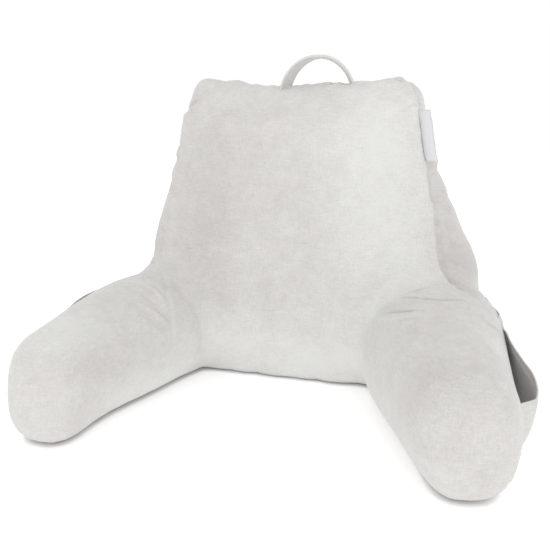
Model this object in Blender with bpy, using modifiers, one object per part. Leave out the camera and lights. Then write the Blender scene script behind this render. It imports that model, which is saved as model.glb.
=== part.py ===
"""A reading pillow with arms: a wedge of a back that stands on its flat base, two stuffed arms
sewn to its lower corners, a cloth pocket on the outside of each arm, a carrying strap on top and
a blank woven tag in the side seam.

Metres, +Z up. The origin is on the flat underside of the back, in its middle. The sitter leans
on the face that looks along -Y, and the arms reach forward along -Y, splayed a little apart.
"left" is the side at -X and "right" the side at +X, as seen from in front.
"""

import math

import bmesh
import bpy
import numpy as np
from mathutils import Vector

# Thicknesses and the gap that sewn pieces keep
SEWN_GAP = 0.0005
POCKET_CLOTH = 0.002
STRAP_CLOTH = 0.003
TAG_CLOTH = 0.0016

SIGN = {"left": -1, "right": 1}

PALE_VELOUR = (0.74, 0.73, 0.71)
WHITE_RIBBON = (0.80, 0.80, 0.80)

# The back, a level section for each row, from the base up. Half widths are those of the seams
# that edge the front and the rear panel, front and rear are where those panels' seams lie along
# Y, and a crown is how far the stuffing pushes a panel out past its two seams.
BACK_COLUMNS = (
    *("height", "front_half", "rear_half", "front", "rear"),
    *("front_crown", "side_crown", "rear_crown"),
)
BACK_ROWS = (
    (0.000, 0.214, 0.228, -0.095, 0.088, 0.003, 0.004, 0.003),
    (0.012, 0.226, 0.244, -0.103, 0.100, 0.008, 0.016, 0.008),
    (0.050, 0.234, 0.256, -0.104, 0.106, 0.013, 0.032, 0.014),
    (0.170, 0.231, 0.252, -0.093, 0.086, 0.018, 0.036, 0.022),
    (0.260, 0.215, 0.226, -0.082, 0.062, 0.020, 0.026, 0.024),
    (0.350, 0.198, 0.200, -0.072, 0.038, 0.018, 0.014, 0.022),
    (0.410, 0.187, 0.187, -0.066, 0.022, 0.014, 0.008, 0.016),
    (0.440, 0.182, 0.182, -0.060, 0.012, 0.009, 0.006, 0.010),
    (0.457, 0.174, 0.174, -0.049, 0.000, 0.005, 0.004, 0.005),
    (0.466, 0.161, 0.161, -0.036, -0.012, 0.002, 0.002, 0.002),
)
BACK_RINGS = 30
EVEN_SHARE = 0.4  # share of the rings' spacing that is even; the rest crowds them at both ends
PANEL_STEPS = 18  # faces across the front and the rear panel
GUSSET_STEPS = 8  # faces across each side gusset
PANEL_FULLNESS = 2.4  # a higher power is flatter in the middle and rounder at the seams

# Lumps and dips of the stuffing along the top edge: place along X, rise, spread
TOP_LUMPS = (
    (-0.125, 0.006, 0.050),
    (-0.045, -0.007, 0.040),
    (0.120, 0.006, 0.060),
)
LUMPS_FROM = 0.38  # they fade in above this height

# An arm, a section for each row, from inside the back to the tip
ARM_COLUMNS = ("along", "half_width", "height", "roundness")
ARM_ROWS = (
    (-0.110, 0.058, 0.150, 2.6),
    (-0.050, 0.088, 0.170, 2.7),
    (0.000, 0.102, 0.178, 2.8),
    (0.080, 0.100, 0.173, 2.8),
    (0.200, 0.085, 0.162, 2.6),
    (0.300, 0.069, 0.152, 2.5),
    (0.390, 0.062, 0.146, 2.5),
)
ARM_ROOT_X = {"left": 0.210, "right": 0.203}  # the root point, from which "along" is measured
ARM_ROOT_Y = -0.035
ARM_LENGTH = {"left": 0.392, "right": 0.385}
ARM_SPLAY = {"left": math.radians(7.4), "right": math.radians(12.4)}
ARM_RINGS = 18
ARM_SIDES = 40
FLOOR_SINK = 0.006  # how much of the round section the floor presses flat
END_LENGTH = 0.066  # the rounded end of an arm
END_RINGS = 9
END_ROUNDNESS = 2.8
END_SMALLEST = 0.08  # the last ring's size, as a share of the full section
END_DROOP = 0.12  # how far the end's middle sinks, as a share of the half height

# A pocket panel on an arm. It is sewn down along its foot and both ends, and its mouth is open.
POCKET_START = 0.020
POCKET_END = 0.315
POCKET_FOOT = math.radians(-52)  # angles run round the arm's section from its outer side
MOUTH_REAR = math.radians(32)
MOUTH_FRONT = math.radians(14)
POCKET_COLUMNS = 20
POCKET_ROWS = 16
MOUTH_STAND_OFF = {"left": 0.025, "right": 0.032}
GAPE_SKEW = 2.2  # above 1 puts the widest gape nearer the arm's tip
GAPE_BREADTH = 0.8  # below 1 spreads the gape along the mouth
GAPE_RISE = 1.4  # above 1 keeps the panel close to the arm for longer above its foot

# The carrying strap, an arch of doubled cloth whose feet are sewn into the top
STRAP_MIDDLE = Vector((0.022, -0.022, 0.440))  # between the feet, inside the top
STRAP_HALF_SPAN = 0.054
STRAP_RISE = 0.0655
STRAP_WIDTH = 0.028
STRAP_TWIST = (math.radians(-24), math.radians(16))  # at the left and the right foot
STRAP_STEPS = 28
STRAP_STEPS_ACROSS = 4

# The tag, a blank ribbon sewn into the right front seam
TAG_BOTTOM = 0.352
TAG_TOP = 0.431
TAG_WIDTH = 0.022  # that shows
TAG_TUCK = 0.012  # that is caught in the seam
TAG_FORWARD = math.radians(14)  # its turn away from the gusset
TAG_CURL = 0.0025
TAG_STEPS = 8


def smooth_row(columns, rows, at):
    """Every column of a table at a place between its rows, on smooth curves through them."""
    places = [row[0] for row in rows]
    i = int(np.clip(np.searchsorted(places, at) - 1, 0, len(places) - 2))
    span = places[i + 1] - places[i]
    t = min(max((at - places[i]) / span, 0.0), 1.0)
    found = {}
    for index, name in enumerate(columns[1:], start=1):
        values = [row[index] for row in rows]
        slopes = np.gradient(values, places) * span
        found[name] = float(
            (1 + 2 * t) * (1 - t) ** 2 * values[i]
            + t * (1 - t) ** 2 * slopes[i]
            + t * t * (3 - 2 * t) * values[i + 1]
            + t * t * (t - 1) * slopes[i + 1]
        )
    return found


def signed_power(value, power):
    return math.copysign(abs(value) ** power, value)


def add_object(name, mesh, collection, material=None):
    made = bpy.data.objects.new(name, mesh)
    collection.objects.link(made)
    if material:
        mesh.materials.append(material)
    mesh.shade_smooth()
    mesh.set_sharp_from_angle(angle=math.radians(50))
    return made


def loft(name, rings):
    """A closed mesh through rings that all have the same count of points, capped at both ends."""
    bm = bmesh.new()
    loops = [[bm.verts.new(point) for point in ring] for ring in rings]
    for low, high in zip(loops, loops[1:]):
        for i in range(len(low)):
            j = (i + 1) % len(low)
            bm.faces.new((low[i], low[j], high[j], high[i]))
    bm.faces.new(list(reversed(loops[0])))
    bm.faces.new(loops[-1])
    bmesh.ops.recalc_face_normals(bm, faces=bm.faces)
    mesh = bpy.data.meshes.new(name)
    bm.to_mesh(mesh)
    bm.free()
    return mesh


def cloth_grid(name, steps_u, steps_v, place):
    """A sheet with no thickness yet: a grid whose points go to place(u, v), each from 0 to 1."""
    bm = bmesh.new()
    bmesh.ops.create_grid(bm, x_segments=steps_u, y_segments=steps_v, size=0.5)
    for vert in bm.verts:
        vert.co = place(vert.co.x + 0.5, vert.co.y + 0.5)
    mesh = bpy.data.meshes.new(name)
    bm.to_mesh(mesh)
    bm.free()
    return mesh


def thicken(obj, thickness, offset):
    """Offset 1 grows a sheet on the side its faces look to, -1 on the other, and 0 on both."""
    wall = obj.modifiers.new("thickness", "SOLIDIFY")
    wall.thickness = thickness
    wall.offset = offset
    wall.use_even_offset = True


def trim_where_sewn(obj, cutter):
    """Cut a piece back to the skin of the back cushion, less the gap of the seam."""
    trim = obj.modifiers.new("sewn_to_back", "BOOLEAN")
    trim.operation = "DIFFERENCE"
    trim.object = cutter


def top_lift(x, height):
    """How far the lumps of stuffing lift the top edge at x."""
    fade = min(max((height - LUMPS_FROM) / (BACK_ROWS[-1][0] - LUMPS_FROM), 0.0), 1.0)
    fade = fade * fade * (3 - 2 * fade)
    return fade * sum(rise * math.exp(-(((x - at) / spread) ** 2)) for at, rise, spread in TOP_LUMPS)


def panel_points(start, end, crown, steps):
    """The points of one panel in a level section, from its first seam up to before the next."""
    start, end = Vector(start), Vector(end)
    run = end - start
    outward = Vector((run.y, -run.x)).normalized()
    for step in range(steps):
        across = -1 + 2 * step / steps
        yield start + run * (across + 1) / 2 + outward * crown * (1 - abs(across) ** PANEL_FULLNESS)


def back_ring(height):
    """One level section of the back: front panel, gusset, rear panel, gusset, turning leftward."""
    row = smooth_row(BACK_COLUMNS, BACK_ROWS, height)
    front_left, front_right = (-row["front_half"], row["front"]), (row["front_half"], row["front"])
    rear_left, rear_right = (-row["rear_half"], row["rear"]), (row["rear_half"], row["rear"])
    ring = list(panel_points(front_left, front_right, row["front_crown"], PANEL_STEPS))
    ring += panel_points(front_right, rear_right, row["side_crown"], GUSSET_STEPS)
    ring += panel_points(rear_right, rear_left, row["rear_crown"], PANEL_STEPS)
    ring += panel_points(rear_left, front_left, row["side_crown"], GUSSET_STEPS)
    return [(point.x, point.y, height + top_lift(point.x, height)) for point in ring]


def make_back(collection):
    """The stuffed back, one filled solid with crowned panels between its seams."""
    share = np.linspace(0, 1, BACK_RINGS)
    crowded = 0.5 - 0.5 * np.cos(math.pi * share)
    heights = BACK_ROWS[-1][0] * (EVEN_SHARE * share + (1 - EVEN_SHARE) * crowded)
    mesh = loft("back_cushion", [back_ring(height) for height in heights])
    return add_object("back_cushion", mesh, collection, plain_cloth("back_velour", PALE_VELOUR))


def make_cutter(back, collection):
    """The back, grown by the sewn gap. It trims what is sewn to the back."""
    cutter = add_object("back_and_gap", back.data.copy(), collection)
    cutter.hide_render = True
    cutter.display_type = "WIRE"
    grow = cutter.modifiers.new("grow", "DISPLACE")
    grow.strength = SEWN_GAP
    grow.mid_level = 0
    return cutter


def arm_section(side, along):
    """The middle height, half width, half height and roundness of an arm's section."""
    row = smooth_row(ARM_COLUMNS, ARM_ROWS, along)
    half_height = (row["height"] + FLOOR_SINK) / 2
    into_end = max(0.0, (along - ARM_LENGTH[side] + END_LENGTH) / END_LENGTH)
    size = max((1 - min(into_end, 1.0) ** END_ROUNDNESS) ** (1 / END_ROUNDNESS), END_SMALLEST)
    middle = half_height - FLOOR_SINK - half_height * END_DROOP * (1 - size)
    return middle, row["half_width"] * size, half_height * size, row["roundness"]


def arm_point(side, along, angle, stand_off=0.0):
    """A point on an arm, or standing off it. The angle is 0 on the outer side and 90 on top."""
    sign, splay = SIGN[side], ARM_SPLAY[side]
    root = Vector((sign * ARM_ROOT_X[side], ARM_ROOT_Y, 0))
    forward = Vector((sign * math.sin(splay), -math.cos(splay), 0))
    outward = Vector((sign * math.cos(splay), math.sin(splay), 0))
    middle, half_width, half_height, roundness = arm_section(side, along)
    across = signed_power(math.cos(angle), 2 / roundness) * (half_width + stand_off)
    upward = signed_power(math.sin(angle), 2 / roundness) * (half_height + stand_off)
    return root + forward * along + outward * across + Vector((0, 0, max(0.0, middle + upward)))


def make_arm(side, cutter, collection):
    """A stuffed arm with a rounded end, trimmed where it is sewn to the back."""
    end_start = ARM_LENGTH[side] - END_LENGTH
    places = list(np.linspace(ARM_ROWS[0][0], end_start, ARM_RINGS))
    turns = np.linspace(0, math.pi / 2, END_RINGS + 1)[1:]
    places += [end_start + END_LENGTH * math.sin(turn) for turn in turns]
    angles = np.linspace(0, 2 * math.pi, ARM_SIDES, endpoint=False)
    rings = [[arm_point(side, along, angle) for angle in angles] for along in places]
    material = plain_cloth(f"arm_{side}_velour", PALE_VELOUR)
    arm = add_object(f"arm_{side}", loft(f"arm_{side}", rings), collection, material)
    trim_where_sewn(arm, cutter)


def make_pocket(side, collection):
    """A pocket panel: it hugs the arm at its foot and ends, and gapes at its mouth."""

    def place(u, v):
        along = POCKET_START + (POCKET_END - POCKET_START) * u
        mouth = MOUTH_REAR + (MOUTH_FRONT - MOUTH_REAR) * u
        angle = POCKET_FOOT + (mouth - POCKET_FOOT) * v
        gape = math.sin(math.pi * u**GAPE_SKEW) ** GAPE_BREADTH * v**GAPE_RISE
        return arm_point(side, along, angle, SEWN_GAP + MOUTH_STAND_OFF[side] * gape)

    mesh = cloth_grid(f"pocket_{side}", POCKET_COLUMNS, POCKET_ROWS, place)
    material = plain_cloth(f"pocket_{side}_velour", PALE_VELOUR)
    pocket = add_object(f"pocket_{side}", mesh, collection, material)
    thicken(pocket, POCKET_CLOTH, -SIGN[side])


def make_strap(cutter, collection):
    """The carrying strap, an arch of doubled cloth with a slight twist from foot to foot."""

    def place(u, v):
        turn = math.pi * u
        arch = Vector((-STRAP_HALF_SPAN * math.cos(turn), 0, STRAP_RISE * math.sin(turn)))
        twist = STRAP_TWIST[0] + (STRAP_TWIST[1] - STRAP_TWIST[0]) * u
        across = Vector((-math.sin(twist) * abs(math.cos(turn)), math.cos(twist), 0)).normalized()
        return STRAP_MIDDLE + arch + across * STRAP_WIDTH * (v - 0.5)

    mesh = cloth_grid("carry_handle", STRAP_STEPS, STRAP_STEPS_ACROSS, place)
    strap = add_object("carry_handle", mesh, collection, plain_cloth("strap_velour", PALE_VELOUR))
    thicken(strap, STRAP_CLOTH, 0)
    trim_where_sewn(strap, cutter)


def make_tag(cutter, collection):
    """The blank ribbon tag, caught in the seam between the front panel and the right gusset."""

    def place(u, v):
        height = TAG_BOTTOM + (TAG_TOP - TAG_BOTTOM) * u
        row = smooth_row(BACK_COLUMNS, BACK_ROWS, height)
        out = -TAG_TUCK + (TAG_TUCK + TAG_WIDTH) * v
        curl = TAG_CURL * math.sin(math.pi * v)
        x = row["front_half"] + out * math.cos(TAG_FORWARD)
        y = row["front"] - out * math.sin(TAG_FORWARD) - curl
        return Vector((x, y, height))

    mesh = cloth_grid("side_label", TAG_STEPS, TAG_STEPS, place)
    tag = add_object("side_label", mesh, collection, plain_cloth("tag_ribbon", WHITE_RIBBON))
    thicken(tag, TAG_CLOTH, 0)
    trim_where_sewn(tag, cutter)


def plain_cloth(name, colour):
    material = bpy.data.materials.new(name)
    material.use_nodes = True
    shader = material.node_tree.nodes["Principled BSDF"]
    shader.inputs["Base Color"].default_value = (*colour, 1)
    shader.inputs["Roughness"].default_value = 0.9
    shader.inputs["Metallic"].default_value = 0.0
    return material


def main():
    for obj in list(bpy.data.objects):
        bpy.data.objects.remove(obj)
    pillow = bpy.data.collections.new("reading_pillow")
    cutters = bpy.data.collections.new("cutters")
    for collection in (pillow, cutters):
        bpy.context.scene.collection.children.link(collection)
    back = make_back(pillow)
    cutter = make_cutter(back, cutters)
    for side in SIGN:
        make_arm(side, cutter, pillow)
        make_pocket(side, pillow)
    make_strap(cutter, pillow)
    make_tag(cutter, pillow)


main()
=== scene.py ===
# %% [markdown]
# # A reading pillow with arms
#
# This lesson dresses a plain CAD model of a reading pillow: a wedge-shaped back that stands on
# its base, two stuffed arms, an open pocket on the outside of each arm, a carrying strap on top
# and a blank tag in the side seam. The cover is a pale plush velour.
#
# The CAD solids already have the right sizes and places. What they lack is cloth: seams that draw
# the cover in, puckers beside them, folds where the arms leave the back, and a nap that has been
# brushed this way and that, with painted light and shade laid into it. Each step below adds one of
# those.

import math

import bmesh
import bpy
import numpy as np
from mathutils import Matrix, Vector
from mathutils.bvhtree import BVHTree
from mathutils.kdtree import KDTree


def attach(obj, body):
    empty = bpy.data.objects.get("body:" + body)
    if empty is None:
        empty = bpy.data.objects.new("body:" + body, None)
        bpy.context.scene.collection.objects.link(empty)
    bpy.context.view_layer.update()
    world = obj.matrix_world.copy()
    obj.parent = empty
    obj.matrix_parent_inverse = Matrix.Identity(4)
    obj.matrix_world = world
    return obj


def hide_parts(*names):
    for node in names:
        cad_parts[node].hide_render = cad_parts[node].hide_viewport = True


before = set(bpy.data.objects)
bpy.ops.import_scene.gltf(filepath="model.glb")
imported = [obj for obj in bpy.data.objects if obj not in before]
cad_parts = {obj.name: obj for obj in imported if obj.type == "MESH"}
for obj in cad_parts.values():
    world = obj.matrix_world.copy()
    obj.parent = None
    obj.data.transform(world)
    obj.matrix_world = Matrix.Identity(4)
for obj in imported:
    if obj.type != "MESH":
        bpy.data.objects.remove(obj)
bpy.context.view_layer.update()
scene = bpy.context.scene
print("CAD nodes:", sorted(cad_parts))

# %% [markdown]
# ## The camera
#
# The photograph was taken from just below the height of the pillow's top, a little to its right
# and about 1.1 m away. A camera could be placed by eye, but the folds below are placed through it,
# so its place, its angles and its lens were worked out once from the outline of the pillow, and
# are written here as real sizes.

# %% Camera
PHOTO_SIZE = 550  # pixels, square
CAMERA_PLACE = Vector((0.257, -1.079, 0.425))
CAMERA_AZIMUTH = math.radians(15.96)
CAMERA_PITCH = math.radians(13.98)
FOCAL_PIXELS = 662.2
SENSOR = 36.0  # millimetres

camera_data = bpy.data.cameras.new("camera")
camera_data.sensor_width = SENSOR
camera_data.lens = SENSOR * FOCAL_PIXELS / PHOTO_SIZE
camera = bpy.data.objects.new("camera", camera_data)
camera.location = CAMERA_PLACE
camera.rotation_euler = (math.pi / 2 - CAMERA_PITCH, 0, CAMERA_AZIMUTH)
scene.collection.objects.link(camera)
scene.camera = camera
bpy.context.view_layer.update()


def photo_ray(x, y):
    """The direction from the camera through a pixel of the photograph."""
    half = PHOTO_SIZE / 2
    local = Vector(((x - half) / FOCAL_PIXELS, (half - y) / FOCAL_PIXELS, -1))
    return (camera.matrix_world.to_3x3() @ local).normalized()


print(f"lens {camera_data.lens:.1f} mm")

# %% [markdown]
# ## Cloth in numbers
#
# A few small helpers do most of the work. They read all points of a mesh, or the way the cloth
# faces at each of them, as one numpy array, and write the points back. Moving points as arrays is
# much quicker than a Python loop, and it keeps each fold a one-line formula. The last helper turns
# a piece and its modifiers into a plain mesh.

# %% Helpers for meshes
def add_piece(name, mesh):
    piece = bpy.data.objects.new(name, mesh)
    scene.collection.objects.link(piece)
    return piece


def read_points(mesh):
    points = np.empty(len(mesh.vertices) * 3)
    mesh.vertices.foreach_get("co", points)
    return points.reshape(-1, 3)


def read_normals(mesh):
    normals = np.empty(len(mesh.vertices) * 3)
    mesh.vertices.foreach_get("normal", normals)
    return normals.reshape(-1, 3)


def write_points(mesh, points):
    mesh.vertices.foreach_set("co", np.ascontiguousarray(points, dtype=np.float32).ravel())
    mesh.update()


def applied(piece):
    """Turn a piece with its modifiers into a plain mesh."""
    graph = bpy.context.evaluated_depsgraph_get()
    mesh = bpy.data.meshes.new_from_object(piece.evaluated_get(graph))
    piece.modifiers.clear()
    piece.data = mesh
    return piece


# %% [markdown]
# ## One cover over three fillings
#
# On the real pillow the front panel runs on into the arms without a hard edge, so the back and
# the arms are dressed as one piece. A boolean union would keep every facet of the solids. A voxel
# remesh gives even small faces all over, which is what a cloth simulation wants, and it joins the
# three solids at the same time. A CAD mesh comes in as loose triangles, so each solid is welded
# first. Then it is grown by about a millimetre, so that they overlap where they are sewn together.

# %% The three solids become one skin
WELD = 1e-5
JOIN_GROWTH = 0.0012
SKIN_VOXEL = 0.0083

joined = bmesh.new()
for node in ("back_cushion", "arm_left", "arm_right"):
    solid = bmesh.new()
    solid.from_mesh(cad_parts[node].data)
    bmesh.ops.remove_doubles(solid, verts=solid.verts, dist=WELD)
    solid.normal_update()
    for vert in solid.verts:
        vert.co += vert.normal * JOIN_GROWTH
    mesh = bpy.data.meshes.new(node + "_grown")
    solid.to_mesh(mesh)
    solid.free()
    joined.from_mesh(mesh)
skin_mesh = bpy.data.meshes.new("pillow_cover")
joined.to_mesh(skin_mesh)
joined.free()
cover = add_piece("pillow_cover", skin_mesh)
remesh = cover.modifiers.new("skin", "REMESH")
remesh.mode = "VOXEL"
remesh.voxel_size = SKIN_VOXEL
applied(cover)
print("skin points:", len(cover.data.vertices))

# %% [markdown]
# ## Cloth bridges an inner corner
#
# Where an arm meets the back, the solids make a sharp inner corner. Cloth never follows one: it
# spans the corner in a soft hollow. Averaging each point's place with its neighbours' many times
# over gives a rounder shape, and where that shape stands outside the skin, the corner is hollow.
# There the skin is raised, and everywhere else it is left alone. The effect fades near the floor
# and behind the front panel, where the photograph shows the corners sharp.

# %% Averages over a skin
def broad_part(mesh, values, passes):
    """Average a value over a mesh again and again, until only its broad changes are left."""
    ends = np.empty(len(mesh.edges) * 2, dtype=np.int64)
    mesh.edges.foreach_get("vertices", ends)
    first, second = ends[0::2], ends[1::2]
    count = len(values)
    share = 1 + np.bincount(first, minlength=count) + np.bincount(second, minlength=count)
    for _ in range(passes):
        total = np.bincount(first, weights=values[second], minlength=count)
        total += np.bincount(second, weights=values[first], minlength=count)
        values = (values + total) / share
    return values


def rounded(mesh, points, passes):
    """The places of a mesh's points after the same averaging, a rounder shape."""
    return np.column_stack([broad_part(mesh, points[:, axis], passes) for axis in range(3)])


# %% Raise the hollows
BRIDGE_PASSES = 320
BRIDGE_STRENGTH = 1.5  # above 1 raises the skin past the averaged shape
BRIDGE_LEAST = 0.0008  # a shallower hollow than this isn't bridged
BRIDGE_MOST = 0.04
BRIDGE_EVEN = 0.003  # where the skin rises this much, it is smoothed as well
BRIDGE_FLOOR = (0.010, 0.050)  # no bridge below the first height, all of it above the second
BRIDGE_FRONT = (-0.040, -0.080)  # none behind the first depth, all of it in front of the second
EDGE_PASSES = 4  # soften the edge of what is raised
EVEN_PASSES = 6


def bridge(mesh, passes):
    """Raise the inner corners of a skin to where cloth would span them."""
    points, normals = read_points(mesh), read_normals(mesh)
    rise = ((rounded(mesh, points, passes) - points) * normals).sum(axis=1)
    rise = np.clip(rise - BRIDGE_LEAST, 0, BRIDGE_MOST) * BRIDGE_STRENGTH
    for axis, (none, all_of_it) in ((2, BRIDGE_FLOOR), (1, BRIDGE_FRONT)):
        rise *= np.clip((points[:, axis] - none) / (all_of_it - none), 0, 1)
    raised = points + normals * broad_part(mesh, rise, EDGE_PASSES)[:, None]
    share = np.clip(rise / BRIDGE_EVEN, 0, 1)[:, None]
    points = raised * (1 - share) + rounded(mesh, raised, EVEN_PASSES) * share
    write_points(mesh, points)
    return float(rise.max())


print("deepest bridge:", round(bridge(cover.data, BRIDGE_PASSES), 4))

# %% [markdown]
# ## Where the seams run
#
# A seam is where two panels of the cover are sewn together. The thread holds the cloth in while the
# stuffing pushes the panels out, so each seam lies in a shallow valley. The paths follow the CAD
# solids' own edges, so the same few sizes are repeated here, and each path is then laid onto
# the skin by taking the nearest point of it.

# %% The seams' sizes
BACK_SEAMS = (  # height, half width at the front, front, half width at the rear, rear
    (0.012, 0.226, -0.103, 0.244, 0.100),
    (0.050, 0.234, -0.104, 0.256, 0.106),
    (0.170, 0.231, -0.093, 0.252, 0.086),
    (0.260, 0.215, -0.082, 0.226, 0.062),
    (0.350, 0.198, -0.072, 0.200, 0.038),
    (0.410, 0.187, -0.066, 0.187, 0.022),
    (0.440, 0.182, -0.060, 0.182, 0.012),
    (0.457, 0.174, -0.049, 0.174, 0.000),
)
ARM_ROOTS = {"left": (-0.210, -0.035), "right": (0.203, -0.035)}
ARM_LENGTHS = {"left": 0.392, "right": 0.385}
ARM_SPLAYS = {"left": math.radians(-7.4), "right": math.radians(12.4)}
END_PANEL_INSET = 0.030  # from an arm's tip back to the seam round its end panel
END_PANEL_HALF = (0.056, 0.066)  # half width and half height of that seam
END_PANEL_MIDDLE = 0.070
END_PANEL_POINTS = 73
TOP_SEAMS = {"front": (-0.036, 0.470), "rear": (-0.004, 0.462)}  # how far back, and height
TOP_HALF = 0.168
TOP_POINTS = 25
LEFT_SEAM_SHIFT = np.array([-0.009, 0.010, 0.0])  # the left panel runs a little further round
RIGHT_SEAM_SHIFT = np.array([0.0050, 0.002, 0.0])
PATH_STEP = 0.004

# %% Seam paths
def even_path(points, step=PATH_STEP):
    """A smooth path through points, as an array of points an even step apart."""
    points = np.array(points, dtype=float)
    lengths = np.concatenate([[0], np.cumsum(np.linalg.norm(np.diff(points, axis=0), axis=1))])
    places = np.linspace(0, lengths[-1], max(2, int(lengths[-1] / step)))
    return np.column_stack([np.interp(places, lengths, points[:, axis]) for axis in range(3)])


def back_seam(side, edge):
    """The upright seam at one corner of the back: side is -1 or 1, edge is front or rear."""
    if edge == "front":
        return [(side * half, front, height) for height, half, front, _, _ in BACK_SEAMS]
    return [(side * half, rear, height) for height, _, _, half, rear in BACK_SEAMS]


def arm_point(side, along, across, height):
    """A point beside an arm's middle line, in the row's frame."""
    x, y = ARM_ROOTS[side]
    splay = ARM_SPLAYS[side]
    forward = np.array([math.sin(splay), -math.cos(splay)])
    outward = np.array([math.cos(splay), math.sin(splay)])
    place = np.array([x, y]) + forward * along + outward * across
    return (place[0], place[1], height)


def end_panel_seam(side):
    """The seam round the end panel of an arm, a closed oval."""
    along = ARM_LENGTHS[side] - END_PANEL_INSET
    half_width, half_height = END_PANEL_HALF
    seam = []
    for turn in np.linspace(0, 2 * math.pi, END_PANEL_POINTS):
        height = END_PANEL_MIDDLE + half_height * math.sin(turn)
        seam.append(arm_point(side, along, half_width * math.cos(turn), height))
    return seam


def top_seam(edge):
    """The seam along the top, in front or behind."""
    y, height = TOP_SEAMS[edge]
    return [(x, y, height) for x in np.linspace(-TOP_HALF, TOP_HALF, TOP_POINTS)]


seam_paths = {
    "front_left": even_path(back_seam(-1, "front")) + LEFT_SEAM_SHIFT,
    "front_right": even_path(back_seam(1, "front")) + RIGHT_SEAM_SHIFT,
    "rear_left": even_path(back_seam(-1, "rear")),
    "rear_right": even_path(back_seam(1, "rear")),
    "top_front": even_path(top_seam("front")),
    "top_rear": even_path(top_seam("rear")),
    "end_left": even_path(end_panel_seam("left")),
    "end_right": even_path(end_panel_seam("right")),
}
print("seams:", {name: len(path) for name, path in seam_paths.items()})

# %% [markdown]
# ## Stuffing
#
# Blender's cloth simulation can blow a closed skin up like a balloon. The points along the back's
# seams are held a little way in, and the cloth is told to be slightly larger than its shape.
# Pushed out from inside and held at the seams, it has to wrinkle beside them, which is just what
# happens on the real pillow. A cap on how far a point may go keeps it in its own space.

# %% Nearness to a path
def path_tree(paths):
    """A search tree over all places of some paths, numbered in order."""
    places = [place for path in paths for place in path]
    tree = KDTree(len(places))
    for index, place in enumerate(places):
        tree.insert(place, index)
    tree.balance()
    return tree


def near_path(points, paths, reach):
    """Which of the points lie within reach of any of the paths."""
    tree = path_tree(paths)
    return np.array([tree.find(point)[2] < reach for point in points])


def skin_tree(mesh):
    """A search tree over a mesh's faces, for rays and for nearest places."""
    return BVHTree.FromPolygons(
        [vert.co for vert in mesh.vertices], [face.vertices[:] for face in mesh.polygons]
    )


def surface_path(path, surface):
    """A path laid onto a surface by its nearest points."""
    return np.array([surface.find_nearest(place)[0] for place in path])


# %% Start a little small, with the seams held
START_INSET = 0.004  # the skin starts this much too small, and the stuffing pushes it out
SEAM_REACH = 0.0056
SEAM_DRAW = 0.003  # how far the thread draws a seam in
HELD_SEAMS = ("front_left", "front_right", "rear_left", "rear_right", "top_front", "top_rear")

measured, outward = read_points(cover.data), read_normals(cover.data)
measured -= outward * JOIN_GROWTH
points = measured - outward * START_INSET
write_points(cover.data, points)
surface = skin_tree(cover.data)
held_paths = [surface_path(seam_paths[name], surface) for name in HELD_SEAMS]
held = near_path(points, held_paths, SEAM_REACH)
points[held] -= outward[held] * SEAM_DRAW
write_points(cover.data, points)
print("held points:", int(held.sum()), "of", len(points))

# %% The cloth simulation
CLOTH_EXCESS = -0.03  # negative makes the cloth larger than the form
CLOTH_MASS = 0.3
CLOTH_STRETCH = 15  # how hard the cloth is to stretch or squeeze
CLOTH_SHEAR = 5
CLOTH_BEND = 0.5
STUFFING_PRESSURE = 4.0
STUFFING_FRAMES = 20
MOST_SWELL = 0.016


def stuff(piece, pinned, frames):
    """Swell a closed skin by pressure, with some points held, and cap how far it goes."""
    group = piece.vertex_groups.new(name="held")
    group.add([int(i) for i in np.flatnonzero(pinned)], 1.0, "REPLACE")
    before = read_points(piece.data)
    cloth = piece.modifiers.new("stuffing", "CLOTH")
    settings = cloth.settings
    settings.quality = 5
    settings.mass = CLOTH_MASS
    settings.tension_stiffness = CLOTH_STRETCH
    settings.compression_stiffness = CLOTH_STRETCH
    settings.shear_stiffness = CLOTH_SHEAR
    settings.bending_stiffness = CLOTH_BEND
    settings.use_pressure = True
    settings.uniform_pressure_force = STUFFING_PRESSURE
    settings.shrink_min = CLOTH_EXCESS
    settings.effector_weights.gravity = 0
    settings.vertex_group_mass = group.name
    settings.pin_stiffness = 1
    for step in range(1, frames + 1):
        scene.frame_set(step)
    graph = bpy.context.evaluated_depsgraph_get()
    after = read_points(piece.evaluated_get(graph).data)
    piece.modifiers.remove(cloth)
    piece.vertex_groups.remove(group)
    scene.frame_set(1)
    move = after - before
    reach = np.linalg.norm(move, axis=1, keepdims=True)
    capped = before + move * np.minimum(1, MOST_SWELL / np.maximum(reach, 1e-9))
    write_points(piece.data, capped)
    return float(reach.max()), float(reach.mean())


print("swell, most and mean:", stuff(cover, held, STUFFING_FRAMES))

# %% [markdown]
# ## Keep the folds, lose the swelling
#
# The pressure does two things at once: it folds the cloth, which is wanted, and it makes the whole
# pillow fatter, which isn't, because its size was measured. The two differ in scale. Averaging
# each point's swell with its neighbours' many times over leaves only the broad part, and taking
# most of that away puts the shape back and keeps the folds.

# %% Take the broad swelling away
BROAD_PASSES = 60
BROAD_SHARE = 0.92

points = read_points(cover.data)
swell = ((points - measured) * outward).sum(axis=1)
broad = broad_part(cover.data, swell, BROAD_PASSES)
points -= outward * (broad * BROAD_SHARE)[:, None]
write_points(cover.data, points)
print(f"broad swell taken away: mean {broad.mean() * 1000:.1f} mm")
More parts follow.
